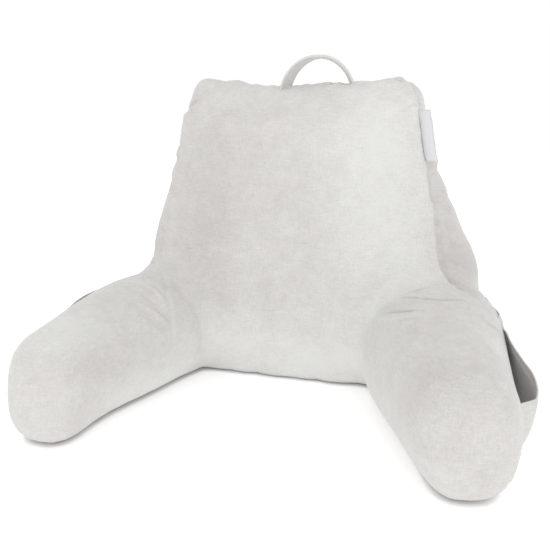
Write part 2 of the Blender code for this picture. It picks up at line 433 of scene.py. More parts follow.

# %% [markdown]
# ## Pulled one by one
#
# A few places of the real pillow lie some millimetres from the measured shape: the front panel
# comes forward at the floor, the top left corner stands up, and the arms' tips are cut a little
# slimmer. Each pull names a place, how far its effect reaches along each axis, and a move. A place
# on an arm is given by how far along the arm it is, how far to the side, and how high. What the
# pulls and the cloth leave too sharp in the inner corners is rounded once more.

# %% Pulls
PULLS = (  # name, the arm that the place is measured on if any, place, reach, move
    ("base forward", "", (-0.02, -0.100, 0.000), (0.20, 0.045, 0.028), (0.0, -0.0120, -0.010)),
    ("corner up", "", (-0.164, -0.045, 0.470), (0.020, 0.04, 0.020), (0.001, 0.0, 0.005)),
    ("notch in", "", (-0.184, -0.050, 0.440), (0.020, 0.04, 0.014), (0.005, 0.0, 0.0)),
    ("ear out", "", (-0.172, -0.045, 0.468), (0.012, 0.03, 0.010), (-0.003, 0.0, 0.004)),
    ("under the ear", "", (-0.188, -0.050, 0.444), (0.014, 0.04, 0.014), (0.004, 0.0, 0.0)),
    ("left side in", "", (-0.232, -0.070, 0.270), (0.030, 0.05, 0.050), (0.003, 0.0, 0.0)),
    ("base corner out", "", (0.110, -0.110, 0.000), (0.050, 0.03, 0.025), (0.0, -0.004, 0.0)),
    ("top left up", "", (-0.110, -0.040, 0.470), (0.050, 0.04, 0.030), (0.0, 0.0, 0.003)),
    ("right shoulder in", "", (0.178, -0.050, 0.455), (0.030, 0.05, 0.030), (-0.003, 0.0, -0.001)),
    ("left edge out", "", (-0.196, -0.060, 0.400), (0.020, 0.04, 0.030), (-0.003, 0.0, 0.0)),
    ("root down", "left", (0.02, -0.080, 0.165), (0.06, 0.07, 0.04), (0.004, 0.0, -0.012)),
    ("shoulder down", "left", (0.06, -0.070, 0.155), (0.06, 0.06, 0.05), (0.0, 0.0, -0.015)),
    ("root out", "right", (0.12, 0.080, 0.145), (0.045, 0.06, 0.04), (0.005, 0.001, 0.001)),
    ("tip in", "left", (0.36, -0.060, 0.095), (0.05, 0.06, 0.06), (0.0110, 0.0, -0.001)),
    ("tip side in", "left", (0.31, -0.095, 0.110), (0.05, 0.05, 0.05), (0.009, 0.0, -0.004)),
    ("belly in", "left", (0.29, 0.070, 0.020), (0.05, 0.08, 0.05), (-0.0120, 0.0, 0.0)),
    ("belly root", "left", (0.10, 0.085, 0.010), (0.04, 0.05, 0.04), (-0.0050, 0.0, 0.0)),
    ("tip in", "right", (0.36, -0.060, 0.020), (0.04, 0.05, 0.05), (0.0080, 0.002, 0.0)),
    ("belly out", "right", (0.16, -0.085, 0.010), (0.04, 0.09, 0.05), (-0.0100, 0.0, 0.0)),
    ("gusset foot out", "", (0.265, 0.050, 0.180), (0.05, 0.07, 0.05), (0.0100, 0.0, 0.0)),
    ("gusset neck in", "", (0.205, 0.010, 0.330), (0.04, 0.05, 0.03), (-0.0030, 0.0, 0.0)),
)
CORNER_PASSES = 40
CORNER_EDGE_PASSES = 12
CORNER_DEPTH = 0.003  # a hollow this deep is rounded in full


def pull(mesh, place, reach, move):
    """Move the points round a place, less and less with their distance."""
    points = read_points(mesh)
    apart = (points - np.array(place)) / np.array(reach)
    points += np.exp(-(apart**2).sum(axis=1))[:, None] * np.array(move)
    write_points(mesh, points)


def rounded_hollows(mesh):
    """Round the skin where it is hollow, above the floor and in front, and nowhere else."""
    points = read_points(mesh)
    even = rounded(mesh, points, CORNER_PASSES)
    hollow = np.clip(((even - points) * read_normals(mesh)).sum(axis=1), 0, 1)
    for axis, (none, all_of_it) in ((2, BRIDGE_FLOOR), (1, BRIDGE_FRONT)):
        hollow *= np.clip((points[:, axis] - none) / (all_of_it - none), 0, 1)
    hollow = broad_part(mesh, hollow, CORNER_EDGE_PASSES)
    share = np.clip(hollow / CORNER_DEPTH, 0, 1)[:, None]
    write_points(mesh, points * (1 - share) + even * share)
    return float(share.mean())


for _, arm, place, reach, move in PULLS:
    pull(cover.data, arm_point(arm, *place) if arm else place, reach, move)
print("pulls:", len(PULLS))
print("share of the points rounded:", round(rounded_hollows(cover.data), 3))

# %% [markdown]
# ## Finer cloth
#
# The simulation worked on faces about 8 mm wide. One step of Catmull-Clark subdivision halves
# that and rounds what is left of the voxel steps, and gives enough points for the small forms: the
# seams' own narrow grooves, the puckers that gather beside them and the folds. Last, whatever
# lies below the floor is pressed flat onto it.

# %% Subdivide and set the pillow down
FINER_STEPS = 1
FLOOR_SOFTNESS = 0.002  # how gently the underside turns into its flat
FLOOR_REACH = 8  # softnesses above the floor, where that ends
MOST_POWER = 30  # keeps the power below within its range


def set_down(mesh):
    """Press the lowest part of a skin flat on the floor, with a soft turn."""
    placed = read_points(mesh)
    height = placed[:, 2]
    power = np.clip(height / FLOOR_SOFTNESS, -MOST_POWER, MOST_POWER)
    soft = FLOOR_SOFTNESS * np.log1p(np.exp(power))
    placed[:, 2] = np.where(height < FLOOR_REACH * FLOOR_SOFTNESS, soft, height)
    write_points(mesh, placed)


finer = cover.modifiers.new("finer", "SUBSURF")
finer.levels = FINER_STEPS
finer.render_levels = FINER_STEPS
applied(cover)
set_down(cover.data)
print("cover points:", len(cover.data.vertices), "faces:", len(cover.data.polygons))

# %% [markdown]
# ## Seams and puckers
#
# A seam in plush is hard to see: the pile closes over the thread and leaves a soft valley. What
# shows is the front panel, which bulges over the seam, and the side panel beside it, which falls
# back. Along the seam the cloth gathers in soft puckers, uneven in size and spacing. All of these
# are functions of a few numbers that are easy to find for each point: how far it is from the
# seam, how far along the seam its nearest place lies, and how far behind the seam it is. The
# point is then moved out or in, the way the cloth faces there.

# %% Each seam's style
SEAM_STYLE = {  # depth of the groove, height of the puckers, their usual length
    "front_left": (0.0010, 0.0022, 0.046),
    "front_right": (0.0, 0.0006, 0.040),  # it has the bulge and the fall instead of a groove
    "rear_left": (0.0030, 0.0016, 0.046),
    "rear_right": (0.0030, 0.0016, 0.046),
    "top_front": (0.0014, 0.0014, 0.050),
    "top_rear": (0.0026, 0.0014, 0.040),
    "end_left": (0.0005, 0.0003, 0.030),
    "end_right": (0.0005, 0.0003, 0.030),
}
PUCKER_WAVES = ((1.0, 0.6), (0.68, 0.5), (0.45, 0.35), (0.3, 0.2))  # share of length, height
PUCKER_REACH = 0.022
SEAM_INFLUENCE = 0.07
GROOVE_HALF = 0.0042
PANEL_BULGE = 0.0030
BULGE_PLACE = 0.005  # how far the bulge's crest lies in front of the seam
SIDE_FALL = 0.0050
FALL_PLACE = 0.006  # and the fall's trough behind it
TURN_HALF = 0.006  # half width of both
TURN_FROM = 0.13  # the panel's edge turns above this height
TURN_WITHIN = 0.05  # and reaches its full turn this much higher
EDGE_FACES = 0.008  # faces this near that edge are cut in four

# %% How far along a seam, and how far from it
def along_and_away(points, path):
    """For each point, how far along a path its nearest place lies, and how far away that is."""
    tree = path_tree([path])
    found = [tree.find(point) for point in points]
    steps = np.concatenate([[0], np.cumsum(np.linalg.norm(np.diff(path, axis=0), axis=1))])
    return steps[[index for _, index, _ in found]], np.array([away for _, _, away in found])


def uneven_wave(place, length, seed):
    """A wave of uneven length and height along a seam, from -1 to 1 or so."""
    draw = np.random.default_rng(seed)
    wave = np.zeros_like(place)
    for share, height in PUCKER_WAVES:
        phase = draw.uniform(0, 2 * math.pi)
        wave += height * np.sin(place * 2 * math.pi / (length * share) + phase)
    return wave


def near_box(points, path, reach):
    """The points that could be within reach of a path."""
    low, high = path.min(axis=0) - reach, path.max(axis=0) + reach
    return np.flatnonzero(((points > low) & (points < high)).all(axis=1))


def refine(mesh, paths, reach):
    """Cut the faces near some paths in four, so that a narrow fold has points to stand on."""
    tree = path_tree(paths)
    bm = bmesh.new()
    bm.from_mesh(mesh)
    near = {face for face in bm.faces if tree.find(face.calc_center_median())[2] < reach}
    edges = list({edge for face in near for edge in face.edges})
    bmesh.ops.subdivide_edges(bm, edges=edges, cuts=1, use_grid_fill=True)
    bm.to_mesh(mesh)
    bm.free()
    return len(near)


def behind_panel(points, path):
    """How far behind the front panel's edge each point lies, less than nothing on the panel."""
    edge = path[np.argsort(path[:, 2])]
    level = np.clip(points[:, 2], edge[0, 2], edge[-1, 2])
    edge_x, edge_y = (np.interp(level, edge[:, 2], edge[:, axis]) for axis in (0, 1))
    return (points[:, 0] - edge_x + points[:, 1] - edge_y) / math.sqrt(2)


# %% Grooves and puckers beside the seams
def sew(mesh, path, style, seed, turned):
    """Draw a groove along a path, with puckers, and a bulge and a fall where the cloth turns."""
    depth, pucker, length = style
    points, normals = read_points(mesh), read_normals(mesh)
    near = near_box(points, path, SEAM_INFLUENCE)
    along, away = along_and_away(points[near], path)
    lift = pucker * uneven_wave(along, length, seed) * np.exp(-away / PUCKER_REACH)
    if turned:
        behind = behind_panel(points[near], path)
        lift += PANEL_BULGE * np.exp(-(((behind + BULGE_PLACE) / TURN_HALF) ** 2))
        lift -= SIDE_FALL * np.exp(-(((behind - FALL_PLACE) / TURN_HALF) ** 2))
        lift *= np.clip((points[near][:, 2] - TURN_FROM) / TURN_WITHIN, 0, 1)
    else:
        lift -= depth * np.exp(-((away / GROOVE_HALF) ** 2))
    points[near] += normals[near] * lift[:, None]
    write_points(mesh, points)


surface = skin_tree(cover.data)
sewn_paths = {name: surface_path(path, surface) for name, path in seam_paths.items()}
panel_edge = sewn_paths["front_right"]
print("faces cut:", refine(cover.data, [panel_edge], EDGE_FACES))
for seed, (name, path) in enumerate(sewn_paths.items()):
    sew(cover.data, path, SEAM_STYLE[name], seed, turned=name == "front_right")
print("sewn:", ", ".join(SEAM_STYLE))

# %% [markdown]
# ## Folds placed one by one
#
# Where the arms leave the back, the cover has more cloth than it needs, and it lies in folds. No
# rule says where these fall, so each is drawn as a short line on the photograph, in its pixels,
# and thrown onto the cover along the camera's rays. Each fold then gets a depth and a width in
# real sizes. A trough alone looks like a scratch. What makes it cloth is the low ridge that rises
# on each side.

# %% The folds, line by line
FOLDS = (  # name, depth (less than nothing for a ridge), half width, points in the photograph
    ("right root crease", 0.0048, 0.0023, ((394, 297), (415, 298), (440, 300), (466, 300))),
    ("right root lower crease", 0.0044, 0.0023, ((382, 313), (410, 311), (434, 308))),
    ("right root fine", 0.0030, 0.0020, ((404, 294), (416, 291), (428, 287))),
    ("right root finer", 0.0020, 0.0020, ((392, 305), (412, 304), (436, 303))),
    ("right root last", 0.0018, 0.0024, ((388, 321), (408, 319), (430, 316))),
    ("right root shoulder", 0.0022, 0.0050, ((448, 289), (464, 289), (480, 297))),
    ("right root roll", -0.0016, 0.0050, ((384, 307), (410, 304), (440, 304), (468, 307))),
    ("gusset foot", 0.0032, 0.0026, ((448, 282), (462, 285), (478, 294))),
    ("gusset first", 0.0018, 0.0030, ((435, 188), (441, 190), (447, 190))),
    ("gusset second", 0.0020, 0.0032, ((439, 206), (445, 208), (453, 209))),
    ("gusset third", 0.0020, 0.0030, ((441, 224), (448, 228), (456, 228))),
    ("gusset fourth", 0.0020, 0.0036, ((444, 241), (453, 245), (464, 247))),
    ("gusset fifth", 0.0016, 0.0036, ((447, 262), (458, 266), (470, 270))),
    ("pocket root crease", 0.0040, 0.0030, ((484, 321), (495, 329), (503, 338))),
    ("left root ridge", -0.0026, 0.0034, ((148, 284), (157, 292), (165, 302))),
    ("left root lower ridge", -0.0028, 0.0034, ((137, 302), (153, 311), (168, 322))),
    ("left root trough", 0.0016, 0.0050, ((140, 292), (152, 301), (164, 312))),
    ("left root lower trough", 0.0016, 0.0050, ((136, 309), (152, 319), (168, 331))),
    ("left panel edge", 0.0012, 0.0042, ((161, 264), (167, 290), (172, 320), (172, 348))),
    ("left corner", 0.0016, 0.0024, ((136, 279), (145, 278), (154, 277))),
    ("left corner upper", 0.0016, 0.0022, ((141, 271), (149, 271), (156, 269))),
    ("left corner top", 0.0014, 0.0022, ((147, 264), (152, 264), (157, 262))),
    ("corner fold left", 0.0034, 0.0030, ((186, 112), (191, 105), (198, 99))),
    ("top right dent", 0.0044, 0.0036, ((395, 81), (400, 80), (404, 82))),
    ("corner pucker right", 0.0028, 0.0030, ((411, 96), (415, 99), (420, 106))),
    ("corner pucker lower", 0.0028, 0.0026, ((409, 105), (415, 104), (420, 104))),
)

# %% Folds
PIXEL_STEP = 1.0  # a fold's line has a place at every pixel
RIDGE_SHARE = 0.4  # the ridges' height, as a share of the trough's depth
FOLD_REACH = 5  # half widths
FOLD_FADE = 0.9  # below 1 holds the depth further towards the ends
NARROW = 0.005  # a fold of less than this half width needs finer faces
FACES_NEAR = (0.0062, 0.0030)  # faces this near are cut in four, and once more


def on_cover(pixels, surface):
    """Throw a line of photograph pixels onto the cover."""
    line = even_path([(x, y, 0) for x, y in pixels], step=PIXEL_STEP)
    hits = [surface.ray_cast(CAMERA_PLACE, photo_ray(x, y))[0] for x, y, _ in line]
    return np.array([hit for hit in hits if hit is not None])


def fold(mesh, path, depth, half_width):
    """Press a trough along a path, with a low ridge on each side, fading at both ends."""
    points, normals = read_points(mesh), read_normals(mesh)
    near = near_box(points, path, half_width * FOLD_REACH)
    along, away = along_and_away(points[near], path)
    whole = np.linalg.norm(np.diff(path, axis=0), axis=1).sum()
    fade = np.sin(math.pi * np.clip(along / whole, 0.0, 1.0)) ** FOLD_FADE
    trough = np.exp(-((away / half_width) ** 2))
    ridge = RIDGE_SHARE * np.exp(-(((away - 2 * half_width) / half_width) ** 2))
    points[near] += normals[near] * (depth * fade * (ridge - trough))[:, None]
    write_points(mesh, points)


surface = skin_tree(cover.data)
fold_paths = [on_cover(pixels, surface) for _, _, _, pixels in FOLDS]
narrow = [path for path, (_, _, half_width, _) in zip(fold_paths, FOLDS) if half_width < NARROW]
print("faces cut:", [refine(cover.data, narrow, reach) for reach in FACES_NEAR])
for path, (_, depth, half_width, _) in zip(fold_paths, FOLDS):
    fold(cover.data, path, depth, half_width)
print("folds:", len(FOLDS), "lowest point:", round(read_points(cover.data)[:, 2].min(), 4))
cover.data.calc_loop_triangles()
print("cover triangles:", len(cover.data.loop_triangles))

# %% [markdown]
# ## Pockets
#
# Each pocket is a panel of the same velour, sewn to the arm along its foot and both ends. Its
# mouth is open. It starts high at the back and falls towards the front. The right one hugs the arm
# for half its length and then gapes. The left one stands a little off all along. The panel is a
# grid whose points are found by shooting a ray at the dressed arm from outside and stepping back
# from where it lands, so that it hugs the stuffed arm. How far it steps back is a sum of small
# parts: the gape, the cloth's slack, the hem's second layer and the dip of the hem's stitches.
# Solidify gives the grid the thickness of cloth.

# %% A pocket's sizes
POCKET_MOUTH = (  # how far along the arm, and height
    (0.020, 0.142),
    (0.100, 0.138),
    (0.170, 0.128),
    (0.220, 0.110),
    (0.270, 0.099),
    (0.312, 0.097),
)
POCKET_START = POCKET_MOUTH[0][0]
POCKET_LENGTH = POCKET_MOUTH[-1][0] - POCKET_START
POCKET_FOOT = 0.010
POCKET_GAPE = {  # share of the length, and how far the mouth stands off there
    "left": ((0.0, 0.0), (0.2, 0.004), (0.5, 0.014), (0.8, 0.014), (1.0, 0.006)),
    "right": (
        (0.0, 0.0),
        (0.42, 0.0),
        (0.55, 0.006),
        (0.70, 0.019),
        (0.82, 0.025),
        (0.92, 0.021),
        (1.0, 0.013),
    ),
}
GAPE_SMOOTHING = 0.05
GAPE_SAMPLES = 7
GAPE_RISE = 0.45  # below 1 opens the pocket well below its mouth
GAPE_CLOSES = 0.016  # the gape goes back to nothing over this length at the front end
SIDE = {"left": -1, "right": 1}
POCKET_GRID = (96, 60)
CROWDING = 1.15  # above 1 crowds the grid's rows towards the mouth
POCKET_CLOTH = 0.0021
EDGE_ROUNDING = 0.4  # of the cloth's thickness
PANEL_HEIGHT = 0.13  # roughly, to tell how near its foot a place is
SEWN_DEPTH = 0.0014  # how deep the sewn edges sink into the pile
SEWN_RISE = 0.0024  # how far the cloth comes out again beside them
SEWN_WIDTH = 0.005  # over this width
LEAST_GAPE = 0.002  # from this gape on, the panel stands clear of the arm's pile
SLACK = 0.0010
SLACK_WAVES = (11, 26, 4)  # two along the pocket, and the second one's slant
SLACK_TOP = 0.7  # the slack grows up to this share of the height
MOST_DIP = 0.0004  # how far in the slack may go
HEM_WIDTH = 0.012
HEM_LAYER = 0.0007
HEM_EDGE = 0.002  # width over which the hem's second layer ends
STITCH_DIP = 0.0006
STITCH_DIP_HALF = 0.0016
RAY_DISTANCE = 0.3  # rays at the arm start this far from its middle line

# %% Where a pocket's cloth lies
def ease(value):
    """From 0 to 1, with a soft start and a soft end."""
    value = min(max(value, 0.0), 1.0)
    return value * value * (3 - 2 * value)


def outward_from(side):
    """The level direction out of an arm's outer side."""
    splay = ARM_SPLAYS[side]
    return Vector((math.cos(splay), math.sin(splay), 0)) * SIDE[side]


def mouth_height(u):
    """How high a pocket's mouth is, at a share of its length."""
    return float(np.interp(POCKET_START + POCKET_LENGTH * u, *zip(*POCKET_MOUTH)))


def gape_at(side, u, v):
    """How far the panel stands off, most at its mouth and next to nothing where it is sewn."""
    around = np.linspace(u - GAPE_SMOOTHING, u + GAPE_SMOOTHING, GAPE_SAMPLES)
    gape = float(np.interp(around, *zip(*POCKET_GAPE[side])).mean()) * v**GAPE_RISE
    gape *= ease((1 - u) * POCKET_LENGTH / GAPE_CLOSES)
    return gape


def slack_at(u, v, phases):
    """The loose cloth's soft waves."""
    first, second, slant = SLACK_WAVES
    slack = math.sin(first * u + phases[0]) + math.sin(second * u + slant * v + phases[1])
    upwards = math.sin(math.pi * min(v, SLACK_TOP) / (2 * SLACK_TOP))
    return SLACK * slack * math.sin(math.pi * u) * upwards


def pocket_point(side, u, v, surface):
    """A point of a pocket's inner face: u runs forward along the arm, v up from the foot."""
    mouth = mouth_height(u)
    height = POCKET_FOOT + (mouth - POCKET_FOOT) * v
    outward = outward_from(side)
    along = POCKET_START + POCKET_LENGTH * u
    start = Vector(arm_point(side, along, SIDE[side] * RAY_DISTANCE, height))
    hit = surface.ray_cast(start, -outward)[0]
    gape = gape_at(side, u, v)
    edge = min(u * POCKET_LENGTH, (1 - u) * POCKET_LENGTH, v * PANEL_HEIGHT)
    seated = -SEWN_DEPTH + SEWN_RISE * ease(edge / SEWN_WIDTH) * ease(gape / LEAST_GAPE)
    off = seated + gape + max(slack_at(u, v, POCKET_PHASES[side]), -MOST_DIP)
    from_mouth = (1 - v) * (mouth - POCKET_FOOT)
    off += HEM_LAYER * ease((HEM_WIDTH + HEM_EDGE / 2 - from_mouth) / HEM_EDGE)
    off -= STITCH_DIP * math.exp(-(((from_mouth - HEM_WIDTH) / STITCH_DIP_HALF) ** 2))
    return hit + outward * off


def wave_phases(seed):
    """Where the slack's two waves start."""
    return np.random.default_rng(seed).uniform(0, 2 * math.pi, 2)


POCKET_PHASES = {"left": wave_phases(19), "right": wave_phases(21)}


# %% Pocket panels
def make_pocket(side, surface):
    """A pocket's panel, from its grid to its softened edges."""
    bm = bmesh.new()
    bmesh.ops.create_grid(bm, x_segments=POCKET_GRID[0], y_segments=POCKET_GRID[1], size=0.5)
    for vert in bm.verts:
        u, v = vert.co.x + 0.5, 1 - (0.5 - vert.co.y) ** CROWDING
        vert.co = pocket_point(side, u, v, surface)
    mesh = bpy.data.meshes.new(f"pocket_{side}_panel")
    bm.to_mesh(mesh)
    bm.free()
    panel = add_piece(f"pocket_{side}_panel", mesh)
    wall = panel.modifiers.new("cloth", "SOLIDIFY")
    wall.thickness = POCKET_CLOTH
    wall.offset = -SIDE[side]
    rounding = panel.modifiers.new("soft edges", "BEVEL")
    rounding.width = POCKET_CLOTH * EDGE_ROUNDING
    rounding.segments = 2
    rounding.angle_limit = math.radians(60)
    return applied(panel)


surface = skin_tree(cover.data)
pockets = {side: make_pocket(side, surface) for side in SIDE}
print("pockets:", {side: len(panel.data.polygons) for side, panel in pockets.items()})

# %% [markdown]
# ## Node trees in a script
#
# The strap and the stitches follow paths, and that is what Geometry Nodes are good at. Each
# tree gets named inputs for its sizes. A modifier stores them under the socket's identifier, not
# its name, so one small function looks that up, sets the values and turns the result into a mesh.

# %% Helpers for node trees
INPUT_KINDS = {float: "NodeSocketFloat", int: "NodeSocketInt", tuple: "NodeSocketVector"}


def new_tree(name, inputs):
    """An empty geometry tree, with an input for each named value and one for the material."""
    tree = bpy.data.node_groups.new(name, "GeometryNodeTree")
    tree.is_modifier = True
    tree.interface.new_socket("Geometry", in_out="INPUT", socket_type="NodeSocketGeometry")
    tree.interface.new_socket("Geometry", in_out="OUTPUT", socket_type="NodeSocketGeometry")
    for label, value in inputs.items():
        kind = INPUT_KINDS.get(type(value), "NodeSocketMaterial")
        tree.interface.new_socket(label, in_out="INPUT", socket_type=kind)
    return tree


def add_node(tree, kind, links=(), **settings):
    """Add a node, set its properties, and link or fill its inputs."""
    node = tree.nodes.new(kind)
    for name, value in settings.items():
        setattr(node, name, value)
    for socket, source in dict(links).items():
        if isinstance(source, bpy.types.NodeSocket):
            tree.links.new(source, node.inputs[socket])
        else:
            node.inputs[socket].default_value = source
    return node


def calculate(tree, operation, *values):
    """One arithmetic node."""
    return add_node(tree, "ShaderNodeMath", dict(enumerate(values)), operation=operation).outputs[0]


def close_tree(tree, geometry, material):
    """End a tree in Realize Instances, smooth shading and Set Material."""
    real = add_node(tree, "GeometryNodeRealizeInstances", {"Geometry": geometry})
    smooth = add_node(tree, "GeometryNodeSetShadeSmooth", {"Geometry": real.outputs[0]})
    finish = add_node(
        tree, "GeometryNodeSetMaterial", {"Geometry": smooth.outputs[0], "Material": material}
    )
    end = tree.nodes.new("NodeGroupOutput")
    tree.links.new(finish.outputs[0], end.inputs[0])


def grown_by(piece, tree, inputs):
    """Run a tree on a piece and keep the result as its mesh."""
    modifier = piece.modifiers.new(tree.name, "NODES")
    modifier.node_group = tree
    for item in tree.interface.items_tree:
        if item.in_out == "INPUT" and item.name in inputs:
            modifier[item.identifier] = inputs[item.name]
    return applied(piece)


# %% [markdown]
# ## Velour
#
# Velour is a short dense pile on a knitted ground. Three things make it read as velour. The pile
# scatters light at grazing angles, which the shader calls sheen. It was brushed unevenly, so broad
# patches lean one way or the other and look lighter or darker, and the darker ones look a little
# warmer. And up close it is never smooth. The colours and the relief come from noise on Object
# coordinates, so they stay on the cloth from every side. The broad brushed patches are painted
# into an attribute of the mesh, because a hand left them there and no noise would. The same
# attribute carries painted light and shade: lighter in the hollows and on the low parts, painted
# highlights along the arms' tops, and painted shade on the side panels, which turn from the light.

# %% Material helpers
def noise(tree, coordinates, scale, detail=2.0, stretch=(1, 1, 1)):
    """A noise texture in the object's own metres, and its factor socket."""
    mapping = tree.nodes.new("ShaderNodeMapping")
    mapping.inputs["Scale"].default_value = stretch
    tree.links.new(coordinates, mapping.inputs["Vector"])
    texture = tree.nodes.new("ShaderNodeTexNoise")
    texture.inputs["Scale"].default_value = scale
    texture.inputs["Detail"].default_value = detail
    tree.links.new(mapping.outputs["Vector"], texture.inputs["Vector"])
    return texture.outputs["Fac"]


def weighted(tree, sockets_and_weights):
    """The sum of sockets, each less a half and times its weight."""
    total = None
    for socket, weight in sockets_and_weights:
        part = tree.nodes.new("ShaderNodeMath")
        part.operation = "MULTIPLY_ADD"
        part.inputs[1].default_value = weight
        part.inputs[2].default_value = -weight / 2
        tree.links.new(socket, part.inputs[0])
        if total is None:
            total = part.outputs[0]
            continue
        add = tree.nodes.new("ShaderNodeMath")
        add.operation = "ADD"
        tree.links.new(total, add.inputs[0])
        tree.links.new(part.outputs[0], add.inputs[1])
        total = add.outputs[0]
    return total


def new_material(name):
    material = bpy.data.materials.new(name)
    material.use_nodes = True
    tree = material.node_tree
    return material, tree, tree.nodes["Principled BSDF"]


# %% The velour's colours and patterns
VELOUR_DARK = (0.522, 0.500, 0.484)
VELOUR_LIGHT = (0.702, 0.702, 0.683)
TRIM_DARK = (0.606, 0.592, 0.572)
WARM_TINT = (1.0, 0.988, 0.984)  # the two shades of a faint, uneven tint
COOL_TINT = (0.994, 1.0, 0.994)
PATTERNS = {  # scale, detail, stretch, share in the colour, share in the relief
    "patches": (9, 4, (1, 1, 1), 0.55, 0.0),
    "mottle": (45, 5, (1, 1, 1), 0.52, 0.6),
    "rows": (110, 3, (0.8, 0.8, 4.5), 0.65, 0.25),
    "wales": (110, 3, (4.5, 4.5, 0.8), 0.6, 0.25),
    "pile": (520, 3, (1, 1, 1), 0.8, 0.5),
}
TINT_PATTERN = (34, 5)  # scale and detail
TINT_RANGE = (0.38, 0.62)
RELIEF = (0.5, 0.0014)  # strength, and depth in metres

# %% The velour's shader
def ranged(tree, socket, low, high):
    """A socket's value spread from 0 at low to 1 at high."""
    node = tree.nodes.new("ShaderNodeMapRange")
    node.inputs["From Min"].default_value = low
    node.inputs["From Max"].default_value = high
    tree.links.new(socket, node.inputs["Value"])
    return node.outputs["Result"]


def mixed(tree, factor, first, second):
    """A colour between two, by a factor."""
    node = tree.nodes.new("ShaderNodeMix")
    node.data_type = "RGBA"
    node.inputs["A"].default_value = (*first, 1)
    node.inputs["B"].default_value = (*second, 1)
    tree.links.new(factor, node.inputs["Factor"])
    return node.outputs["Result"]


def multiplied(tree, first, second):
    """One colour times another."""
    node = tree.nodes.new("ShaderNodeMix")
    node.data_type = "RGBA"
    node.blend_type = "MULTIPLY"
    node.inputs["Factor"].default_value = 1.0
    tree.links.new(first, node.inputs["A"])
    tree.links.new(second, node.inputs["B"])
    return node.outputs["Result"]


def bumped(tree, height, strength, distance):
    """A relief read from a socket."""
    bump = tree.nodes.new("ShaderNodeBump")
    bump.inputs["Strength"].default_value = strength
    bump.inputs["Distance"].default_value = distance
    tree.links.new(height, bump.inputs["Height"])
    return bump.outputs["Normal"]


def velour(name, dark, light, reads_nap_and_painted_light):
    """Pale plush. Brushed velour also reads the pile, painted light and shade on its mesh."""
    material, tree, shader = new_material(name)
    shader.inputs["Roughness"].default_value = 0.95
    shader.inputs["Specular IOR Level"].default_value = 0.15
    shader.inputs["Sheen Weight"].default_value = 0.30
    shader.inputs["Sheen Roughness"].default_value = 0.5
    place = tree.nodes.new("ShaderNodeTexCoord").outputs["Object"]
    shades, heights = [], []
    for scale, detail, stretch, in_colour, in_relief in PATTERNS.values():
        pattern = noise(tree, place, scale, detail, stretch)
        shades.append((pattern, in_colour))
        if in_relief:
            heights.append((pattern, in_relief))
    if reads_nap_and_painted_light:
        nap_and_painted_light = tree.nodes.new("ShaderNodeAttribute")
        nap_and_painted_light.attribute_name = "nap_and_painted_light"
        shades.append((nap_and_painted_light.outputs["Fac"], 1.0))
    colour = mixed(tree, ranged(tree, weighted(tree, shades), -0.5, 0.5), dark, light)
    blush = ranged(tree, noise(tree, place, *TINT_PATTERN), *TINT_RANGE)
    dyed = multiplied(tree, colour, mixed(tree, blush, WARM_TINT, COOL_TINT))
    tree.links.new(dyed, shader.inputs["Base Color"])
    relief = bumped(tree, weighted(tree, heights), *RELIEF)
    tree.links.new(relief, shader.inputs["Normal"])
    return material


cover_velour = velour("pale_velour", VELOUR_DARK, VELOUR_LIGHT, reads_nap_and_painted_light=True)
trim_velour = velour("pale_velour_trim", TRIM_DARK, VELOUR_LIGHT, reads_nap_and_painted_light=False)

# %% Brushed nap and painted light
NAP_AND_PAINTED_LIGHT_PATCHES = (  # pixel in the photograph, half width and half height in metres, how light
    # brushed nap on the front panel
    ((385, 170), (0.075, 0.26), 0.50),
    ((205, 200), (0.070, 0.24), -0.34),
    ((250, 92), (0.070, 0.02), 0.20),
    # painted light on the low parts, as if lit from the floor
    ((230, 330), (0.100, 0.04), 0.20),
    ((280, 358), (0.200, 0.05), 0.42),
    ((140, 395), (0.100, 0.04), 0.36),
    # painted highlights along the arms' tops
    ((66, 334), (0.080, 0.02), 0.44),
    ((498, 348), (0.022, 0.05), 0.30),
    # darker on the right arm's inner side
    ((420, 385), (0.040, 0.06), -0.15),
)
FALLEN_NAP = 0.5
POCKET_NAP = 0.58
HOLLOW_PAINTED_LIGHT = 0.22  # painted light in the hollows, which lifts the shade that falls there
HOLLOW_PASSES = (160, 30)  # to find the hollows, and to soften their edges
HOLLOW_DEPTH = 0.006
GUSSET_PAINTED_SHADE = -0.38  # painted shade on the side panels, which turn away from the light
GUSSET_SHADE_LEVELS = (  # height, and how much of that shows there
    (0.15, 0.0),
    (0.18, 1.25),
    (0.205, 1.25),
    (0.235, 0.72),
    (0.41, 0.75),
    (0.43, 0.0),
)
ASIDE = (0.5, 0.3)  # how much a face looks aside where that starts, and until it is full
EDGE_BAND = (0.2, 0.09)  # in this band, middle and half width, the right seam itself divides
EDGE_REAR = 0.03  # as far back as this
EDGE_TURN = 0.002


def beside_panel(points, normals):
    """From 0 on the front panel to 1 on the side panels."""
    start, span = ASIDE
    aside = np.clip((np.abs(normals[:, 0]) - start) / span, 0, 1)
    middle, half = EDGE_BAND
    at_edge = np.abs(points[:, 0] - middle) < half
    behind = np.clip(behind_panel(points, panel_edge) / EDGE_TURN, 0, 1)
    return np.where(at_edge & (normals[:, 0] > 0) & (points[:, 1] < EDGE_REAR), behind, aside)


